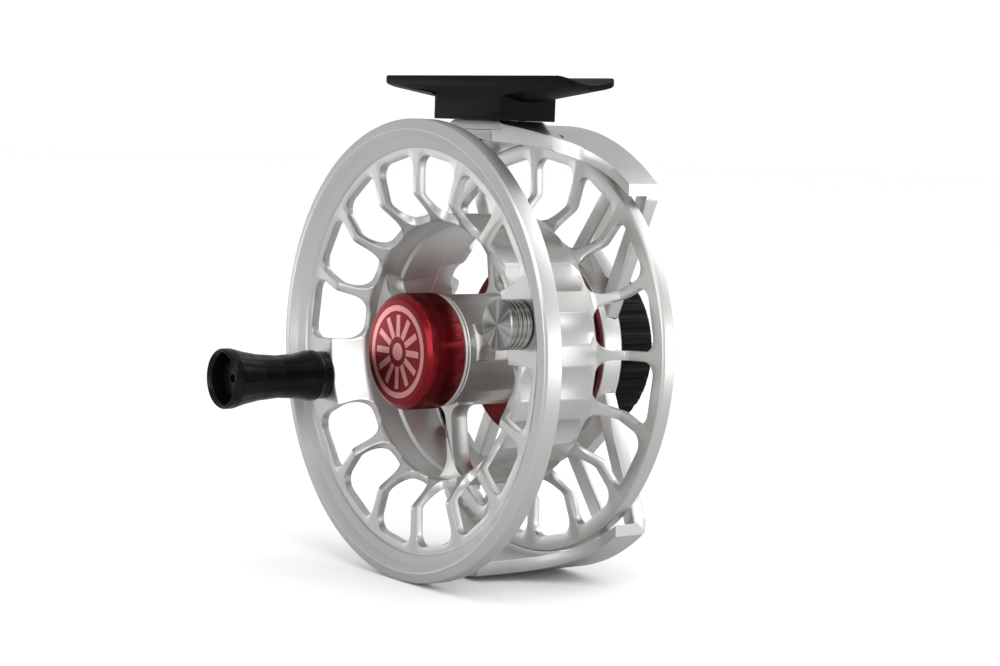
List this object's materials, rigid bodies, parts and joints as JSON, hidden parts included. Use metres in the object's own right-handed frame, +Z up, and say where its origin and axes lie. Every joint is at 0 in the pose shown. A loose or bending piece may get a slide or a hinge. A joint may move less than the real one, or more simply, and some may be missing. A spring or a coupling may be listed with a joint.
{
  "type": "fly reel",
  "caption": "Large-arbor fly fishing reel: ported spool with handle and counterweight on a half frame with a reel foot, sealed disc drag and rear drag knob",
  "frame": {"origin": "the middle of the reel foot's seat, where a rod's reel seat rests on it", "axes": "+X along the foot to the right seen from the handle side, +Y along the spool's spin axis from the handle side to the drag knob, +Z up out of the foot's seat"},
  "size_m": [0.09, 0.0711, 0.0987],
  "materials": {
    "spool_silver": "fine bead-blasted clear anodised aluminium",
    "frame_silver": "fine bead-blasted clear anodised aluminium",
    "foot_black": "satin black anodised aluminium",
    "handle_black": "gloss black anodised aluminium",
    "knob_black": "satin black anodised aluminium",
    "cap_red": "bright red anodised aluminium",
    "housing_red": "bright red anodised aluminium",
    "counterweight_steel": "turned stainless steel",
    "carbon": "matt carbon composite",
    "steel": "turned stainless steel"
  },
  "bodies": {
    "frame_body": {"frame": "frame_silver", "reel_foot": "foot_black", "foot_screw_left": "steel", "foot_screw_right": "steel", "drag_housing": "housing_red", "housing_screw_1": "steel", "housing_screw_2": "steel", "housing_screw_3": "steel", "spindle": "steel", "friction_disc": "carbon", "pressure_plate": "steel", "disc_spring": "steel", "pawl_pin": "steel", "click_spring": "steel"},
    "spool_body": {"spool": "spool_silver", "drive_hub": "steel", "one_way_clutch": "steel", "front_bearing": "steel", "rear_bearing": "steel", "click_gear": "steel", "rotor_disc": "steel", "counterweight": "counterweight_steel", "counterweight_screw": "steel", "handle_spindle": "handle_black", "handle_screw": "steel"},
    "cap_body": {"spool_cap": "cap_red", "cap_washer": "steel"},
    "handle_body": {"handle_grip": "handle_black"},
    "knob_body": {"drag_knob": "knob_black", "knob_nut": "steel", "knob_plunger": "steel", "knob_plunger_spring": "steel"},
    "pawl_body": {"click_pawl": "steel"}
  },
  "joints": [
    {"name": "spool_spin", "type": "hinge", "parent": "frame_body", "child": "spool_body", "pos_m": [0, 0, -0.05225], "axis": [0, 1, 0], "continuous": true},
    {"name": "handle_spin", "type": "hinge", "parent": "spool_body", "child": "handle_body", "pos_m": [-0.03353, 0, -0.06039], "axis": [0, 1, 0], "continuous": true},
    {"name": "spool_cap_turn", "type": "hinge", "parent": "frame_body", "child": "cap_body", "pos_m": [0, 0, -0.05225], "axis": [0, -1, 0], "range_deg": [0, 1080]},
    {"name": "drag_knob_turn", "type": "hinge", "parent": "frame_body", "child": "knob_body", "pos_m": [0, 0, -0.05225], "axis": [0, -1, 0], "range_deg": [0, 330]},
    {"name": "click_pawl_rock", "type": "hinge", "parent": "frame_body", "child": "pawl_body", "pos_m": [0.0126, 0, -0.05225], "axis": [0, 1, 0], "range_deg": [-20, 20]}
  ]
}
